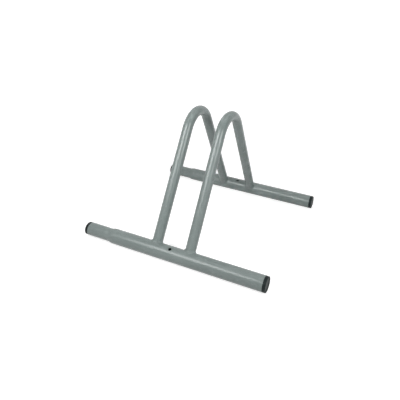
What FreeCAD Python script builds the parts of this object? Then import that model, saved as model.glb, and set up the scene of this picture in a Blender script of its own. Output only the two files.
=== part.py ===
"""Floor stand for one bicycle, in millimetres.

Two round base tubes lie on the floor and two bent hoops stand across them, a tyre's width apart.
Each base tube is swaged down to a spigot at its left end, so that stands link end to end.
The frame is centred on the stand with Z up from the floor: X runs along the base tubes towards
their open ends, and Y runs from the front tube to the rear one.
"""
import FreeCAD
import Part
import math
import os

# Base tubes
BASE_DIAMETER = 32.0
BASE_WALL = 1.5
BASE_LENGTH = 404.0
BASE_SPACING = 357.0
SPIGOT_LENGTH = 50.0
SPIGOT_CLEARANCE = 0.5
SWAGE_LENGTH = 14.0

# Floor fixing holes: the lean is from upright to the front, in degrees
FIXING_HOLE_DIAMETER = 7.0
FIXING_HOLE_LEAN = 20.0

# Hoops: the height is to the top of the tube and the bend radius is to its centre line
HOOP_DIAMETER = 22.0
HOOP_WALL = 1.5
HOOP_HEIGHT = 279.0
HOOP_SPACING = 77.0
BEND_RADIUS = 53.0
FOOT_INSET = 4.0

# Weld beads: the leg is how far the bead reaches along each of the two tubes
WELD_LEG = 3.0

# End plugs: a dished head over the tube's end, and a hollow barbed stem in its bore
PLUG_HEAD_THICKNESS = 6.5
PLUG_HEAD_SETBACK = 0.2
PLUG_EDGE_RADIUS = 0.8
PLUG_RIM_WIDTH = 1.6
PLUG_DISH_DEPTH = 1.2
PLUG_DISH_DRAFT = 0.3
PLUG_STEM_WALL = 2.0
PLUG_FIT_CLEARANCE = 0.05
BARB_COUNT = 3
BARB_PITCH = 5.5
BARB_RAMP = 2.2
BARB_LAND = 0.8
BARB_HEIGHT = 1.0

# Sizes that follow from the ones above
BASE_RADIUS = BASE_DIAMETER / 2
BASE_BORE_RADIUS = BASE_RADIUS - BASE_WALL
SPIGOT_RADIUS = BASE_BORE_RADIUS - SPIGOT_CLEARANCE
HOOP_RADIUS = HOOP_DIAMETER / 2

# Senses along X and Y
LEFT, RIGHT = -1, 1
FRONT, REAR = -1, 1
SIDES = {"left": LEFT, "right": RIGHT}
ENDS = {"front": FRONT, "rear": REAR}

X_AXIS = FreeCAD.Vector(1, 0, 0)
Z_AXIS = FreeCAD.Vector(0, 0, 1)


def line(start, finish):
    """Straight edge between two points."""
    return Part.LineSegment(start, finish).toShape()


def arc(start, through, finish):
    """Circular edge from one point to another through a third."""
    return Part.Arc(start, through, finish).toShape()


def chain(points):
    """Straight edges through a list of points."""
    return [line(a, b) for a, b in zip(points[:-1], points[1:])]


def base_axis(end):
    """Middle of a base tube's axis."""
    return FreeCAD.Vector(0, end * BASE_SPACING / 2, BASE_RADIUS)


def swage_edges(x_thick, r_thick, x_thin, r_thin):
    """Ogee from the full tube down to the spigot: two equal arcs, each tangent to its tube."""
    half_length = (x_thick - x_thin) / 2
    half_drop = (r_thick - r_thin) / 2
    radius = (half_length**2 + half_drop**2) / (2 * half_drop)
    quarter_turn = math.asin(half_length / radius) / 2
    run = radius * math.sin(quarter_turn)
    sink = radius * (1 - math.cos(quarter_turn))
    thick = FreeCAD.Vector(x_thick, r_thick, 0)
    middle = FreeCAD.Vector(x_thick - half_length, r_thick - half_drop, 0)
    thin = FreeCAD.Vector(x_thin, r_thin, 0)
    shoulder = arc(thick, thick + FreeCAD.Vector(-run, -sink, 0), middle)
    throat = arc(middle, thin + FreeCAD.Vector(run, sink, 0), thin)
    return [shoulder, throat]


def base_tube(end):
    """Base tube with its spigot, turned from one wall section, and the hole for a floor bolt."""
    mouth = BASE_LENGTH / 2
    tip = -BASE_LENGTH / 2
    thin = tip + SPIGOT_LENGTH
    thick = thin + SWAGE_LENGTH
    outer = (BASE_RADIUS, SPIGOT_RADIUS)
    inner = (outer[0] - BASE_WALL, outer[1] - BASE_WALL)
    edges = []
    for r_thick, r_thin in (outer, inner):
        edges.append(line(FreeCAD.Vector(mouth, r_thick, 0), FreeCAD.Vector(thick, r_thick, 0)))
        edges += swage_edges(thick, r_thick, thin, r_thin)
        edges.append(line(FreeCAD.Vector(thin, r_thin, 0), FreeCAD.Vector(tip, r_thin, 0)))
    for x, index in ((mouth, 0), (tip, 1)):
        edges.append(line(FreeCAD.Vector(x, outer[index], 0), FreeCAD.Vector(x, inner[index], 0)))
    section = Part.Face(Part.Wire(Part.__sortEdges__(edges)))
    tube = section.revolve(FreeCAD.Vector(), X_AXIS, 360)
    tube.translate(base_axis(end))
    lean = math.radians(FIXING_HOLE_LEAN)
    drill = FreeCAD.Vector(0, FRONT * math.sin(lean), math.cos(lean))
    hole_foot = base_axis(end) - drill * BASE_RADIUS
    hole = Part.makeCylinder(FIXING_HOLE_DIAMETER / 2, BASE_DIAMETER, hole_foot, drill)
    return tube.cut(hole).Solids[0]


def hoop_bend(side):
    """Centre of a hoop's bend, and the turn from level at which its legs leave the bend."""
    centre = FreeCAD.Vector(side * HOOP_SPACING / 2, 0, HOOP_HEIGHT - HOOP_RADIUS - BEND_RADIUS)
    foot = hoop_foot(side, REAR)
    reach = (foot - centre).Length
    leave = math.atan2(foot.z - centre.z, foot.y) + math.acos(BEND_RADIUS / reach)
    return centre, leave


def hoop_foot(side, end):
    """Point at the base tube's height where a leg's centre line ends."""
    return FreeCAD.Vector(side * HOOP_SPACING / 2, end * (BASE_SPACING / 2 - FOOT_INSET), BASE_RADIUS)


def leg_top(side, end):
    """Point where a leg's centre line runs into the bend."""
    centre, leave = hoop_bend(side)
    across = FreeCAD.Vector(0, end * math.cos(leave), math.sin(leave))
    return centre + across * BEND_RADIUS


def leg_direction(side, end):
    """Unit vector up a leg."""
    return (leg_top(side, end) - hoop_foot(side, end)).normalize()


def ring(at, along):
    """Hoop tube's section at a point, square to a direction."""
    rim = Part.Wire(Part.makeCircle(HOOP_RADIUS, at, along))
    bore = Part.Wire(Part.makeCircle(HOOP_RADIUS - HOOP_WALL, at, along))
    return Part.Face(rim).cut(Part.Face(bore)).Faces[0]


def base_cylinder(end):
    """Base tube's outside as a full cylinder, which copes the hoop legs."""
    start = base_axis(end) - X_AXIS * (BASE_LENGTH / 2)
    return Part.makeCylinder(BASE_RADIUS, BASE_LENGTH, start, X_AXIS)


def hoop(side):
    """Hoop of two straight legs and one bend, its ends coped to the base tubes."""
    centre, leave = hoop_bend(side)
    tube = ring(leg_top(side, REAR), leg_direction(side, REAR)).revolve(
        centre, X_AXIS, 180 - 2 * math.degrees(leave))
    for end in ENDS.values():
        foot = hoop_foot(side, end)
        leg = ring(foot, leg_direction(side, end)).extrude(leg_top(side, end) - foot)
        tube = tube.fuse(leg)
    for end in ENDS.values():
        tube = tube.cut(base_cylinder(end))
    return tube.Solids[0]


def weld_bead(side, end):
    """Weld around a leg's foot: the bevel that fills the corner between the two tubes."""
    foot = hoop_foot(side, end)
    up = leg_direction(side, end)
    tube = base_cylinder(end)
    leg = Part.makeCylinder(HOOP_RADIUS, (leg_top(side, end) - foot).Length, foot, up)
    joined = tube.fuse(leg)
    seam = [edge for edge in joined.Edges if on_both_tubes(edge, foot, up, end)]
    bevelled = joined.makeChamfer(WELD_LEG, seam)
    return bevelled.cut(tube).cut(leg).Solids[0]


def on_both_tubes(edge, foot, up, end):
    """Whether an edge's middle lies on the leg's outside and on the base tube's."""
    middle = edge.valueAt(sum(edge.ParameterRange) / 2)
    to_leg = middle.distanceToLine(foot, up)
    to_base = middle.distanceToLine(base_axis(end), X_AXIS)
    return math.isclose(to_leg, HOOP_RADIUS, rel_tol=1e-4) and math.isclose(to_base, BASE_RADIUS, rel_tol=1e-4)


def plug(tube_radius):
    """End plug for a tube of the given outside radius, seated at X = 0 with its head towards +X."""
    head = tube_radius - PLUG_HEAD_SETBACK
    barb = tube_radius - BASE_WALL - PLUG_FIT_CLEARANCE
    stem = barb - BARB_HEIGHT
    hollow = stem - PLUG_STEM_WALL
    stem_length = BARB_COUNT * BARB_PITCH
    points = [FreeCAD.Vector(0, 0, 0), FreeCAD.Vector(0, hollow, 0), FreeCAD.Vector(-stem_length, hollow, 0)]
    for number in range(BARB_COUNT):
        nose = number * BARB_PITCH - stem_length
        back = nose + BARB_RAMP + BARB_LAND
        points.append(FreeCAD.Vector(nose, stem, 0))
        points.append(FreeCAD.Vector(nose + BARB_RAMP, barb, 0))
        points.append(FreeCAD.Vector(back, barb, 0))
        points.append(FreeCAD.Vector(back, stem, 0))
    edge_start = FreeCAD.Vector(PLUG_HEAD_THICKNESS - PLUG_EDGE_RADIUS, head, 0)
    points += [FreeCAD.Vector(0, stem, 0), FreeCAD.Vector(0, head, 0), edge_start]
    edge_end = FreeCAD.Vector(PLUG_HEAD_THICKNESS, head - PLUG_EDGE_RADIUS, 0)
    round_off = PLUG_EDGE_RADIUS * math.sqrt(0.5)
    edge_middle = FreeCAD.Vector(edge_start.x + round_off, edge_end.y + round_off, 0)
    dish_mouth = FreeCAD.Vector(PLUG_HEAD_THICKNESS, head - PLUG_RIM_WIDTH, 0)
    dish_floor = dish_mouth - FreeCAD.Vector(PLUG_DISH_DEPTH, PLUG_DISH_DRAFT, 0)
    dish_middle = FreeCAD.Vector(dish_floor.x, 0, 0)
    edges = chain(points)
    edges.append(arc(edge_start, edge_middle, edge_end))
    edges += chain([edge_end, dish_mouth, dish_floor, dish_middle, points[0]])
    return Part.Face(Part.Wire(edges)).revolve(FreeCAD.Vector(), X_AXIS, 360)


def socket_plug(end):
    """Plug in a base tube's open right end."""
    part = plug(BASE_RADIUS)
    part.translate(base_axis(end) + X_AXIS * (BASE_LENGTH / 2))
    return part


def spigot_plug(end):
    """Plug in a base tube's spigot, small enough to go into the next stand with it."""
    part = plug(SPIGOT_RADIUS)
    part.rotate(FreeCAD.Vector(), Z_AXIS, 180)
    part.translate(base_axis(end) - X_AXIS * (BASE_LENGTH / 2))
    return part


def stand():
    """Every piece of the stand by name."""
    pieces = {}
    for end_name, end in ENDS.items():
        pieces[end_name + "_base_tube"] = base_tube(end)
        pieces[end_name + "_socket_plug"] = socket_plug(end)
        pieces[end_name + "_spigot_plug"] = spigot_plug(end)
    for side_name, side in SIDES.items():
        pieces[side_name + "_hoop"] = hoop(side)
        for end_name, end in ENDS.items():
            pieces[side_name + "_" + end_name + "_weld"] = weld_bead(side, end)
    return pieces


os.makedirs("parts", exist_ok=True)
for name, shape in stand().items():
    shape.exportStep("parts/" + name + ".step")
    print(name, shape.ShapeType, len(shape.Solids), shape.isValid(), round(shape.Volume, 1))
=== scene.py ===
"""Looks of a floor bike stand: powder-coated tubes, rippled weld beads and moulded end plugs.

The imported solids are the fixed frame, in metres. This script gives every one of them its finish, puts
rippled beads in place of the plain welds, and sets the stand in a white studio.
"""

import logging
import math
from dataclasses import dataclass, field
from enum import Enum
from typing import Any, Dict, List, Mapping, Optional, Sequence, Tuple, Union

import bpy
import numpy as np
from mathutils import Matrix, Vector

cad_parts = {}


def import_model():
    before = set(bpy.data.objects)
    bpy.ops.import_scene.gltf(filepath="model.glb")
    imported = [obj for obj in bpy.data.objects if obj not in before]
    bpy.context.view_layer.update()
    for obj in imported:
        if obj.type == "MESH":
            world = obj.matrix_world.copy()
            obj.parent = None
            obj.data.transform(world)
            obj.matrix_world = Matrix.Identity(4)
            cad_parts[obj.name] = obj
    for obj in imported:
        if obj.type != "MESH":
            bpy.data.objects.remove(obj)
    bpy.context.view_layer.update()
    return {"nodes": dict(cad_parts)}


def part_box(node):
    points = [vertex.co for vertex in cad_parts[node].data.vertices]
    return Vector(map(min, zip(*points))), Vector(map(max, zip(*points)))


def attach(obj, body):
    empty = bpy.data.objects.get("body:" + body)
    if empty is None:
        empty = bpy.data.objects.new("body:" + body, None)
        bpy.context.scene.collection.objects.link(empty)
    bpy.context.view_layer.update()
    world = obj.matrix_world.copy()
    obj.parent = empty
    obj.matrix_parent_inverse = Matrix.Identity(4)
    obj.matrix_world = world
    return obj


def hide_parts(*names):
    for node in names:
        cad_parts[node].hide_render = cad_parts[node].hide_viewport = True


LOG = logging.getLogger("bike_stand")
MILLIMETRE = 0.001

Colour = Tuple[float, float, float]
Point = Tuple[float, float, float]
Stops = Tuple[Tuple[float, float], ...]


class Side(Enum):
    """The two hoops, by the sense of X."""

    LEFT = -1
    RIGHT = 1


class End(Enum):
    """The two base tubes, by the sense of Y."""

    FRONT = -1
    REAR = 1


class Bore(Enum):
    """The two ends of a base tube that a plug closes."""

    SOCKET = "socket"
    SPIGOT = "spigot"


def node_name(kind: str, *places: Enum) -> str:
    """Names a node of the frame.

    Args:
        kind: what the piece is, such as weld.
        places: where it is, in the order of the name.

    Returns:
        The name, such as left_front_weld.
    """
    return "_".join([place.name.lower() for place in places] + [kind])


class Value:
    """A number that varies over a surface, held as the output socket of a shader node."""

    def __init__(self, graph: "ShaderGraph", socket: bpy.types.NodeSocket) -> None:
        """Keeps the graph that the socket belongs to, so that sums can add nodes to it."""
        self.graph = graph
        self.socket = socket

    def _maths(self, operation: str, first: "Term", second: "Term") -> "Value":
        """Adds one Math node.

        Args:
            operation: the Math node's operation.
            first: its first input, a value or a plain number.
            second: its second input.

        Returns:
            The node's result.
        """
        return self.graph.node("ShaderNodeMath", {"operation": operation}, {0: first, 1: second})

    def __add__(self, other: "Term") -> "Value":
        """Sum."""
        return self._maths("ADD", self, other)

    def __radd__(self, other: "Term") -> "Value":
        """Sum, with the plain number first."""
        return self._maths("ADD", other, self)

    def __sub__(self, other: "Term") -> "Value":
        """Difference."""
        return self._maths("SUBTRACT", self, other)

    def __rsub__(self, other: "Term") -> "Value":
        """Difference, with the plain number first."""
        return self._maths("SUBTRACT", other, self)

    def __mul__(self, other: "Term") -> "Value":
        """Product."""
        return self._maths("MULTIPLY", self, other)

    def __rmul__(self, other: "Term") -> "Value":
        """Product, with the plain number first."""
        return self._maths("MULTIPLY", other, self)

    def at_most(self, other: "Term") -> "Value":
        """The smaller of two values."""
        return self._maths("MINIMUM", self, other)

    def at_least(self, other: "Term") -> "Value":
        """The larger of two values."""
        return self._maths("MAXIMUM", self, other)


Term = Union[Value, float, int]


class ShaderGraph:
    """A node tree that is written as expressions."""

    def __init__(self, tree: bpy.types.NodeTree) -> None:
        """Empties the tree and takes it over."""
        self.tree = tree
        tree.nodes.clear()

    def node(self, kind: str, settings: Mapping[str, Any], inputs: Mapping[Any, Any],
             output: Union[int, str] = 0) -> Value:
        """Adds any node.

        Args:
            kind: the node's type, such as ShaderNodeTexNoise.
            settings: its properties, set first; "stops" gives a ramp's positions and colours.
            inputs: its sockets by name or number, each a Value to link or a constant to set.
            output: which output to return.

        Returns:
            The chosen output.
        """
        made = self.tree.nodes.new(kind)
        for name, setting in settings.items():
            if name == "stops":
                self._set_stops(made.color_ramp, setting)
            else:
                setattr(made, name, setting)
        for key, term in inputs.items():
            socket = made.inputs[key]
            if isinstance(term, Value):
                self.tree.links.new(term.socket, socket)
            else:
                socket.default_value = term
        chosen = made.outputs[output] if len(made.outputs) else None
        return Value(self, chosen)

    @staticmethod
    def _set_stops(ramp: bpy.types.ColorRamp, stops: Stops) -> None:
        """Gives a ramp grey stops.

        Args:
            ramp: the ramp of a Color Ramp node.
            stops: pairs of position and grey level, in order.
        """
        while len(ramp.elements) < len(stops):
            ramp.elements.new(1.0)
        for element, (position, level) in zip(ramp.elements, stops):
            element.position = position
            element.color = (level, level, level, 1.0)

    def object_place(self) -> Value:
        """Reads the place on the surface.

        Returns:
            The place in the stand's own frame, in metres.
        """
        return self.node("ShaderNodeTexCoord", {}, {}, "Object")

    def noise(self, place: Value, size: float, detail: float = 2.0,
              roughness: float = 0.5) -> Value:
        """Cloudy noise.

        Args:
            place: where it is read.
            size: the width of one blotch, in metres.
            detail: how many finer octaves it has.
            roughness: how strong those octaves are.

        Returns:
            A value from 0 to 1, about 0.5 on average.
        """
        inputs = {"Vector": place, "Scale": 1.0 / size, "Detail": detail, "Roughness": roughness}
        return self.node("ShaderNodeTexNoise", {"noise_dimensions": "3D"}, inputs, "Fac")

    def ramp(self, value: Value, stops: Stops) -> Value:
        """Passes a value through straight runs from one grey stop to the next.

        Args:
            value: where on the ramp to read, from 0 to 1.
            stops: pairs of position and grey level, in order.

        Returns:
            The grey level there.
        """
        return self.node("ShaderNodeValToRGB", {"stops": stops}, {"Fac": value}, "Color")

    def tint(self, share: Term, plain: Union[Value, Colour],
             changed: Union[Value, Colour]) -> Value:
        """Mixes two colours.

        Args:
            share: how much of the second colour shows, from 0 to 1.
            plain: the first colour.
            changed: the second colour.

        Returns:
            The mixed colour.
        """
        ends = [c if isinstance(c, Value) else (*c, 1.0) for c in (plain, changed)]
        settings = {"data_type": "RGBA", "blend_type": "MIX"}
        return self.node("ShaderNodeMix", settings, {0: share, 6: ends[0], 7: ends[1]}, 2)

    def bump(self, height: Value, depth: float, below: Optional[Value] = None) -> Value:
        """Surface relief.

        Args:
            height: the relief, from 0 to 1.
            depth: how deep a height of 1 is, in metres.
            below: coarser relief that this one lies on.

        Returns:
            The bumped normal.
        """
        inputs: Dict[str, Any] = {"Height": height, "Distance": depth, "Strength": 1.0}
        if below is not None:
            inputs["Normal"] = below
        return self.node("ShaderNodeBump", {}, inputs, "Normal")

    def surface(self, shader: Value) -> None:
        """Ends a material's graph in its output.

        Args:
            shader: the finished shader.
        """
        self.node("ShaderNodeOutputMaterial", {}, {"Surface": shader})


def new_graph(name: str) -> Tuple[bpy.types.Material, ShaderGraph]:
    """Makes an empty material.

    Args:
        name: the material's name.

    Returns:
        The material, and the graph of its nodes.
    """
    material = bpy.data.materials.new(name)
    material.use_nodes = True
    return material, ShaderGraph(material.node_tree)


@dataclass(frozen=True)
class PowderCoat:
    """Semi-gloss powder coat on steel: orange peel, faint mottling and a few rubbed patches."""

    name: str = "grey_green_powder_coat"
    colour: Colour = (0.196, 0.236, 0.227)
    pale: Colour = (0.214, 0.254, 0.245)
    deep: Colour = (0.178, 0.216, 0.208)
    rubbed: Colour = (0.250, 0.288, 0.279)
    roughness: float = 0.27
    roughness_drift: float = 0.06
    peel_size: float = 1.7 * MILLIMETRE
    peel_depth: float = 0.005 * MILLIMETRE
    grain_size: float = 0.35 * MILLIMETRE
    grain_depth: float = 0.002 * MILLIMETRE
    mottle_size: float = 55.0 * MILLIMETRE
    speck_size: float = 1.1 * MILLIMETRE
    rub_size: float = 9.0 * MILLIMETRE
    mottle_stops: Stops = ((0.38, 0.0), (0.62, 1.0))
    speck_stops: Stops = ((0.60, 0.0), (0.75, 1.0))
    rub_stops: Stops = ((0.62, 0.0), (0.74, 1.0))
    evenness: float = 0.45
    speck_share: float = 0.10
    rub_share: float = 0.18
    rub_dulling: float = 0.10
    grain_drift: float = 0.06
    refraction: float = 1.5

    def material(self) -> bpy.types.Material:
        """Builds the material.

        Returns:
            A material whose colour, roughness and relief all vary in the stand's own frame.
        """
        material, graph = new_graph(self.name)
        place = graph.object_place()
        mottle = graph.noise(place, self.mottle_size, detail=3.0)
        specks = graph.ramp(graph.noise(place, self.speck_size, detail=1.0), self.speck_stops)
        worn = graph.noise(place, self.rub_size, detail=5.0, roughness=0.65)
        rub = graph.ramp(worn, self.rub_stops)
        colour = graph.tint(graph.ramp(mottle, self.mottle_stops), self.deep, self.pale)
        colour = graph.tint(self.evenness, colour, self.colour)
        colour = graph.tint(specks * self.speck_share, colour, self.deep)
        colour = graph.tint(rub * self.rub_share, colour, self.rubbed)
        peel = graph.noise(place, self.peel_size, detail=1.0)
        grain = graph.noise(place, self.grain_size, detail=2.0)
        roughness = self.roughness + (mottle - 0.5) * self.roughness_drift
        roughness = roughness + rub * self.rub_dulling + (grain - 0.5) * self.grain_drift
        relief = graph.bump(peel, self.peel_depth)
        relief = graph.bump(grain, self.grain_depth, relief)
        shader = graph.node("ShaderNodeBsdfPrincipled", {}, {
            "Base Color": colour, "Roughness": roughness, "Normal": relief, "IOR": self.refraction,
        })
        graph.surface(shader)
        return material


@dataclass(frozen=True)
class MouldedPlastic:
    """Satin black plastic with the fine texture of the mould and a few pale scuffs."""

    name: str = "black_moulded_plastic"
    colour: Colour = (0.005, 0.011, 0.011)
    scuffed: Colour = (0.014, 0.023, 0.023)
    roughness: float = 0.50
    gloss: float = 0.20
    texture_size: float = 0.45 * MILLIMETRE
    texture_depth: float = 0.010 * MILLIMETRE
    scuff_size: float = 4.0 * MILLIMETRE
    scuff_stops: Stops = ((0.56, 0.0), (0.72, 1.0))
    scuff_share: float = 0.5
    scuff_dulling: float = 0.14
    grain_drift: float = 0.08
    refraction: float = 1.49

    def material(self) -> bpy.types.Material:
        """Builds the material.

        Returns:
            A material with scuffs in its colour and roughness, and the mould's grain as relief.
        """
        material, graph = new_graph(self.name)
        place = graph.object_place()
        grain = graph.noise(place, self.texture_size, detail=2.0)
        cloud = graph.noise(place, self.scuff_size, detail=6.0, roughness=0.7)
        scuffs = graph.ramp(cloud, self.scuff_stops)
        dulling = scuffs * self.scuff_dulling + (grain - 0.5) * self.grain_drift
        shader = graph.node("ShaderNodeBsdfPrincipled", {}, {
            "Base Color": graph.tint(scuffs * self.scuff_share, self.colour, self.scuffed),
            "Roughness": self.roughness + dulling,
            "Normal": graph.bump(grain, self.texture_depth),
            "IOR": self.refraction, "Specular IOR Level": self.gloss,
        })
        graph.surface(shader)
        return material


def dress(piece: bpy.types.Object, material: bpy.types.Material) -> None:
    """Gives every slot of a piece one material.

    Args:
        piece: the mesh object.
        material: its finish.
    """
    if not piece.material_slots:
        piece.data.materials.append(material)
    for slot in piece.material_slots:
        slot.material = material


def closed_grid(name: str, points: np.ndarray) -> bpy.types.Object:
    """Makes a mesh from a grid of points that closes on itself both ways: a ring of closed sections.

    Args:
        name: the object's name.
        points: array of shape (around, section, 3); seen along the ring, each section runs
            anticlockwise.

    Returns:
        The linked object, smooth-shaded, with its place in its mesh.
    """
    around, section, _ = points.shape
    index = np.arange(around * section).reshape(around, section)
    ahead = np.roll(index, -1, axis=0)
    beside_ahead, beside_index = np.roll(ahead, -1, axis=1), np.roll(index, -1, axis=1)
    quads = np.stack([index, ahead, beside_ahead, beside_index], axis=-1)
    mesh = bpy.data.meshes.new(name)
    mesh.from_pydata(points.reshape(-1, 3).tolist(), [], quads.reshape(-1, 4).tolist())
    mesh.shade_smooth()
    mesh.validate()
    piece = bpy.data.objects.new(name, mesh)
    bpy.context.scene.collection.objects.link(piece)
    return piece


@dataclass
class TubeFrame:
    """The base tubes and hoops, which keep their solids and take the paint."""

    finish: PowderCoat = field(default_factory=PowderCoat)

    def dress(self, nodes: Mapping[str, bpy.types.Object], paint: bpy.types.Material) -> None:
        """Paints the tubes.

        Args:
            nodes: the frame's nodes by name.
            paint: the powder coat.
        """
        base_tubes = [node_name("base_tube", end) for end in End]
        hoops = [node_name("hoop", side) for side in Side]
        for name in base_tubes + hoops:
            dress(nodes[name], paint)
            LOG.info("%s painted", name)


def beside(curve: np.ndarray, distance: np.ndarray,
           period: Tuple[float, float] = (0.0, 0.0)) -> np.ndarray:
    """Moves a repeating plane curve to the right of its run.

    Args:
        curve: its points, as an array of shape (points, 2).
        distance: how far each point moves, square to the run between its two neighbours.
        period: how far the curve gets in one repeat; a closed curve gets nowhere.

    Returns:
        The moved points.
    """
    run = np.roll(curve, -1, axis=0) - np.roll(curve, 1, axis=0)
    run[[0, -1]] += period
    right = np.stack([run[:, 1], -run[:, 0]], axis=-1)
    right /= np.linalg.norm(run, axis=-1, keepdims=True)
    return curve + distance[:, None] * right


@dataclass(frozen=True)
class FootSeat:
    """A hoop leg's foot on its base tube, both of whose surfaces can be unrolled flat."""

    foot: np.ndarray
    up: np.ndarray
    base_centre: np.ndarray
    base_radius: float
    leg_radius: float

    def on_leg(self, flat: np.ndarray) -> np.ndarray:
        """Rolls points up onto the leg.

        Args:
            flat: the arc about the leg from the base tube's direction, and the height up the leg.

        Returns:
            The points in space.
        """
        level = np.array([1.0, 0.0, 0.0])
        turn = flat[:, 0] / self.leg_radius
        spoke = np.outer(np.cos(turn), level) + np.outer(np.sin(turn), np.cross(self.up, level))
        return self.foot + self.leg_radius * spoke + np.outer(flat[:, 1], self.up)

    def on_base(self, flat: np.ndarray) -> np.ndarray:
        """Rolls points up onto the base tube.

        Args:
            flat: the place along the tube, and the arc about it from its top towards the rear.

        Returns:
            The points in space.
        """
        turn = flat[:, 1] / self.base_radius
        ring = self.base_radius * np.stack([np.zeros_like(turn), np.sin(turn), np.cos(turn)], axis=-1)
        return ring + self.base_centre * (0.0, 1.0, 1.0) + np.outer(flat[:, 0], (1.0, 0.0, 0.0))

    def seam(self, turn: np.ndarray) -> Tuple[np.ndarray, np.ndarray]:
        """Finds the seam between the two tubes.

        Args:
            turn: angles about the leg.

        Returns:
            The seam on the unrolled leg, and the same points on the unrolled base tube.
        """
        arc = self.leg_radius * turn
        start = self.on_leg(np.stack([arc, np.zeros_like(arc)], axis=-1))
        offset = (start - self.base_centre) * (0.0, 1.0, 1.0)
        along = offset @ self.up
        height = np.sqrt(self.base_radius**2 - (offset**2).sum(-1) + along**2) - along
        offset += np.outer(height, self.up)
        base_arc = self.base_radius * np.arctan2(offset[:, 1], offset[:, 2])
        return np.stack([arc, height], axis=-1), np.stack([start[:, 0], base_arc], axis=-1)


@dataclass
class WeldBeads:
    """Rippled fillet welds round the hoops' feet.

    The tubes' radii and places are read from the frame. The other sizes are the hoops' bend and foot,
    and the bead itself.
    """

    bend_radius: float = 53.0 * MILLIMETRE
    foot_inset: float = 4.0 * MILLIMETRE
    leg: float = 3.0 * MILLIMETRE
    sag: float = 0.35 * MILLIMETRE
    ripple_height: float = 0.16 * MILLIMETRE
    ripple_pitch: float = 2.6 * MILLIMETRE
    ripple_bow: float = 0.9
    ripple_fullness: float = 0.7
    waver: float = 0.07
    waver_beats: Tuple[float, float] = (3.0, 7.0)
    waver_second: float = 0.6
    bury: float = 0.25 * MILLIMETRE
    steps_around: int = 384
    steps_across: int = 13

    def build(self, side: Side, end: End) -> bpy.types.Object:
        """Makes the bead at one foot.

        The bead's section is carried round the seam where the leg meets the base tube. One toe lies
        beside the seam on the unrolled base tube and the other beside it on the unrolled leg. The face
        between them sags a little and carries bowed ripples that fade out at both toes.

        Args:
            side: which hoop.
            end: which base tube.

        Returns:
            The bead, in place of the plain weld.
        """
        name = node_name("weld", side, end)
        seat = self._seat(side, end)
        turn = np.linspace(0.0, 2.0 * np.pi, self.steps_around, endpoint=False)
        swell = self._swell(turn, phase=float(side.value) + 2.0 * float(end.value))
        leg_seam, base_seam = seat.seam(turn)
        root = seat.on_leg(leg_seam)
        low_toe = seat.on_base(beside(base_seam, self.leg * swell))
        leg_girth = 2.0 * np.pi * seat.leg_radius
        high_toe = seat.on_leg(beside(leg_seam, -self.leg * swell, (leg_girth, 0.0)))
        outward = (low_toe + high_toe) / 2.0 - root
        outward /= np.linalg.norm(outward, axis=-1, keepdims=True)
        across = np.linspace(0.0, 1.0, self.steps_across)
        arch = 4.0 * across * (1.0 - across)
        count = round(2.0 * np.pi * (seat.leg_radius + self.leg / 2.0) / self.ripple_pitch)
        beat = count * turn[:, None] / 2.0 + self.ripple_bow * (2.0 * across - 1.0)**2
        ripple = np.abs(np.sin(beat))**self.ripple_fullness
        lift = (self.ripple_height * ripple - self.sag) * arch
        face = low_toe[:, None] * (1.0 - across[:, None]) + high_toe[:, None] * across[:, None]
        face = face + lift[..., None] * outward[:, None]
        buried = root - self.bury * outward
        ring = np.concatenate([face, buried[:, None]], axis=1)
        sink = np.zeros_like(ring)
        sink[:, 0] = -self.bury * outward
        sink[:, -2] = -self.bury * outward
        piece = closed_grid(f"{name}_bead", ring + sink)
        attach(piece, "frame")
        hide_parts(name)
        return piece

    def _swell(self, turn: np.ndarray, phase: float) -> np.ndarray:
        """Works out how the bead's width wavers, as a hand-laid one does.

        Args:
            turn: angles about the leg.
            phase: where the waver starts, so that no two beads are alike.

        Returns:
            The width at each angle, as a multiple of the mean.
        """
        first, second = self.waver_beats
        wave = np.sin(first * turn + phase) + self.waver_second * np.sin(second * turn - 2.0 * phase)
        return 1.0 + self.waver * wave

    def _seat(self, side: Side, end: End) -> FootSeat:
        """Works out where a leg stands.

        Args:
            side: which hoop.
            end: which base tube.

        Returns:
            The leg's foot on its base tube.
        """
        base_low, base_high = (np.array(c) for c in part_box(node_name("base_tube", end)))
        hoop_low, hoop_high = (np.array(c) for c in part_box(node_name("hoop", side)))
        base_centre = (base_low + base_high) / 2.0
        base_radius = (base_high[2] - base_low[2]) / 2.0
        leg_radius = (hoop_high[0] - hoop_low[0]) / 2.0
        hoop_x = (hoop_high[0] + hoop_low[0]) / 2.0
        foot = np.array([hoop_x, base_centre[1] - end.value * self.foot_inset, base_centre[2]])
        bend = np.array([hoop_x, 0.0, hoop_high[2] - leg_radius - self.bend_radius])
        reach = float(np.linalg.norm(foot - bend))
        leave = math.atan2(foot[2] - bend[2], abs(foot[1])) + math.acos(self.bend_radius / reach)
        spoke = np.array([0.0, end.value * math.cos(leave), math.sin(leave)])
        top = bend + self.bend_radius * spoke
        up = (top - foot) / np.linalg.norm(top - foot)
        return FootSeat(foot, up, base_centre, base_radius, leg_radius)


@dataclass
class EndPlugs:
    """The black plugs in the tubes' ends, which keep their solids."""

    finish: MouldedPlastic = field(default_factory=MouldedPlastic)

    def dress(self, nodes: Mapping[str, bpy.types.Object]) -> None:
        """Gives the plugs their plastic.

        Args:
            nodes: the frame's nodes by name.
        """
        plastic = self.finish.material()
        for end in End:
            for bore in Bore:
                name = node_name("plug", end, bore)
                dress(nodes[name], plastic)
                LOG.info("%s dressed", name)


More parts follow.
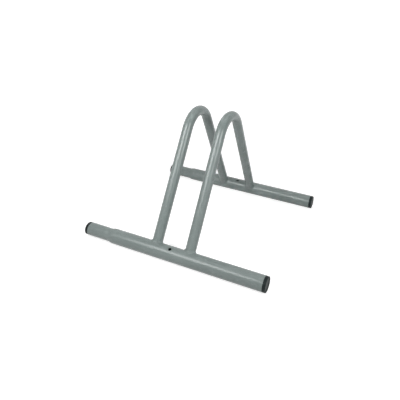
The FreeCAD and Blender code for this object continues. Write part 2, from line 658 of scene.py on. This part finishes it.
@dataclass(frozen=True)
class StudioCamera:
    """Camera at the photograph's view.

    The eye's place is in metres and the angles are in degrees. The focal length and the offset of the
    picture's centre are in pixels of a square picture of the given width.
    """

    eye: Point = (0.379324, -0.813541, 0.549817)
    yaw: float = 21.6081
    pitch: float = 21.3038
    roll: float = 3.4401
    focal: float = 428.2844
    picture: float = 400.0
    offset: Tuple[float, float] = (36.0, -56.0)
    sensor: float = 36.0

    def build(self) -> bpy.types.Object:
        """Makes the scene's camera.

        Returns:
            The camera, set as the scene's own.
        """
        data = bpy.data.cameras.new("camera")
        data.sensor_width = self.sensor
        data.lens = self.sensor * self.focal / self.picture
        data.shift_x = -self.offset[0] / self.picture
        data.shift_y = self.offset[1] / self.picture
        yaw, pitch, roll = (math.radians(a) for a in (self.yaw, self.pitch, self.roll))
        level = math.cos(pitch)
        back = Vector((math.sin(yaw) * level, -math.cos(yaw) * level, math.sin(pitch)))
        right = Vector((math.cos(yaw), math.sin(yaw), 0.0))
        up = back.cross(right)
        tilted_right = math.cos(roll) * right + math.sin(roll) * up
        tilted_up = math.cos(roll) * up - math.sin(roll) * right
        camera = bpy.data.objects.new("camera", data)
        turn = Matrix((tilted_right, tilted_up, back)).transposed().to_4x4()
        camera.matrix_world = Matrix.Translation(self.eye) @ turn
        bpy.context.scene.collection.objects.link(camera)
        bpy.context.scene.camera = camera
        return camera


@dataclass(frozen=True)
class SoftLamp:
    """A rectangular studio lamp that points at the stand.

    Sizes are in metres, the power is in watts and the spread of its beam is in degrees.
    """

    name: str
    place: Point
    width: float
    height: float
    power: float
    aim: Point = (0.0, 0.0, 0.08)
    spread: float = 180.0

    def build(self) -> bpy.types.Object:
        """Makes the lamp.

        Returns:
            The lamp, linked to the scene.
        """
        data = bpy.data.lights.new(self.name, "AREA")
        data.shape = "RECTANGLE"
        data.size = self.width
        data.size_y = self.height
        data.energy = self.power
        data.spread = math.radians(self.spread)
        lamp = bpy.data.objects.new(self.name, data)
        lamp.location = self.place
        beam = Vector(self.aim) - Vector(self.place)
        lamp.rotation_euler = beam.to_track_quat("-Z", "Y").to_euler()
        bpy.context.scene.collection.objects.link(lamp)
        return lamp


@dataclass
class Studio:
    """White studio: a floor that keeps the shadow, a world that is seen as white, and soft lamps.

    The floor's glow rises to full white between the two fade distances from the stand's centre. The
    world lights the stand by the ambient level, and by the back fill as well from behind.
    """

    floor_half: float = 40.0
    floor_drop: float = 0.2 * MILLIMETRE
    floor_colour: Colour = (0.55, 0.55, 0.55)
    floor_glow: float = 0.72
    fade_start: float = 0.30
    fade_end: float = 1.10
    ambient: float = 0.05
    back_fill: float = 1.10
    lamps: Tuple[SoftLamp, ...] = (
        SoftLamp("key_panel", place=(-0.21, -0.62, 0.57), width=0.50, height=0.32, power=3.3,
                 aim=(-0.02, -0.10, 0.08)),
        SoftLamp("side_lamp", place=(1.35, -0.70, 0.95), width=0.50, height=0.50, power=11.8),
        SoftLamp("top_lamp", place=(0.0, 0.0, 2.20), width=1.60, height=1.60, power=4.1),
        SoftLamp("rear_tube_panel", place=(-0.30, -0.95, 1.05), width=0.30, height=0.20, power=0.05,
                 aim=(0.06, 0.20, 0.03), spread=18.0),
    )
    camera: StudioCamera = field(default_factory=StudioCamera)

    def build(self) -> None:
        """Sets up the floor, the world, the lamps, the camera and the plain view transform."""
        self._floor()
        self._world()
        for lamp in self.lamps:
            lamp.build()
        self.camera.build()
        bpy.context.scene.view_settings.view_transform = "Standard"

    @staticmethod
    def _seen(graph: ShaderGraph) -> Value:
        """Tells whether a ray shows what it meets.

        Args:
            graph: the graph of a floor or a world.

        Returns:
            1 for a ray from the camera, a reflection or a refraction, and 0 for light on the stand.
        """
        rays = [graph.node("ShaderNodeLightPath", {}, {}, name)
                for name in ("Is Camera Ray", "Is Glossy Ray", "Is Transmission Ray")]
        return rays[0].at_least(rays[1]).at_least(rays[2])

    def _floor(self) -> None:
        """Makes the floor: a matt sheet that catches the shadow, lifted to white where it is seen.

        The lift grows with the distance from the stand, as the lamps' light falls off.
        """
        half = self.floor_half
        drop = -self.floor_drop
        mesh = bpy.data.meshes.new("floor")
        sheet = [(-half, -half, drop), (half, -half, drop), (half, half, drop), (-half, half, drop)]
        mesh.from_pydata(sheet, [], [(0, 1, 2, 3)])
        floor = bpy.data.objects.new("floor", mesh)
        bpy.context.scene.collection.objects.link(floor)
        material, graph = new_graph("studio_floor")
        matt = graph.node("ShaderNodeBsdfDiffuse", {}, {"Color": (*self.floor_colour, 1.0)})
        place = graph.object_place()
        away = graph.node("ShaderNodeVectorMath", {"operation": "LENGTH"}, {0: place}, "Value")
        fade = (away - self.fade_start) * (1.0 / (self.fade_end - self.fade_start))
        fade = fade.at_least(0.0).at_most(1.0)
        lift = self._seen(graph) * (self.floor_glow + (1.0 - self.floor_glow) * fade)
        glow = graph.node("ShaderNodeEmission", {}, {"Color": lift, "Strength": 1.0})
        graph.surface(graph.node("ShaderNodeAddShader", {}, {0: matt, 1: glow}))
        dress(floor, material)

    def _world(self) -> None:
        """Makes the world: white where it is seen, and a soft light that is stronger from behind."""
        world = bpy.data.worlds.new("studio_world")
        world.use_nodes = True
        bpy.context.scene.world = world
        graph = ShaderGraph(world.node_tree)
        seen = self._seen(graph)
        heading = graph.node("ShaderNodeTexCoord", {}, {}, "Generated")
        behind = graph.node("ShaderNodeSeparateXYZ", {}, {"Vector": heading}, "Y").at_least(0.0)
        level = seen + (1.0 - seen) * (self.ambient + self.back_fill * behind)
        background = graph.node("ShaderNodeBackground", {}, {"Color": level, "Strength": 1.0})
        graph.node("ShaderNodeOutputWorld", {}, {"Surface": background})


def main() -> None:
    """Loads the frame, dresses it, and builds the beads and the studio."""
    logging.basicConfig(level=logging.INFO, format="%(name)s: %(message)s")
    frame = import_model()
    tubes = TubeFrame()
    paint = tubes.finish.material()
    tubes.dress(frame["nodes"], paint)
    EndPlugs().dress(frame["nodes"])
    welds = WeldBeads()
    for side in Side:
        for end in End:
            bead = welds.build(side, end)
            dress(bead, paint)
            dress(frame["nodes"][node_name("weld", side, end)], paint)
            LOG.info("%s made with %d faces", bead.name, len(bead.data.polygons))
    Studio().build()


if __name__ == "__main__":
    main()
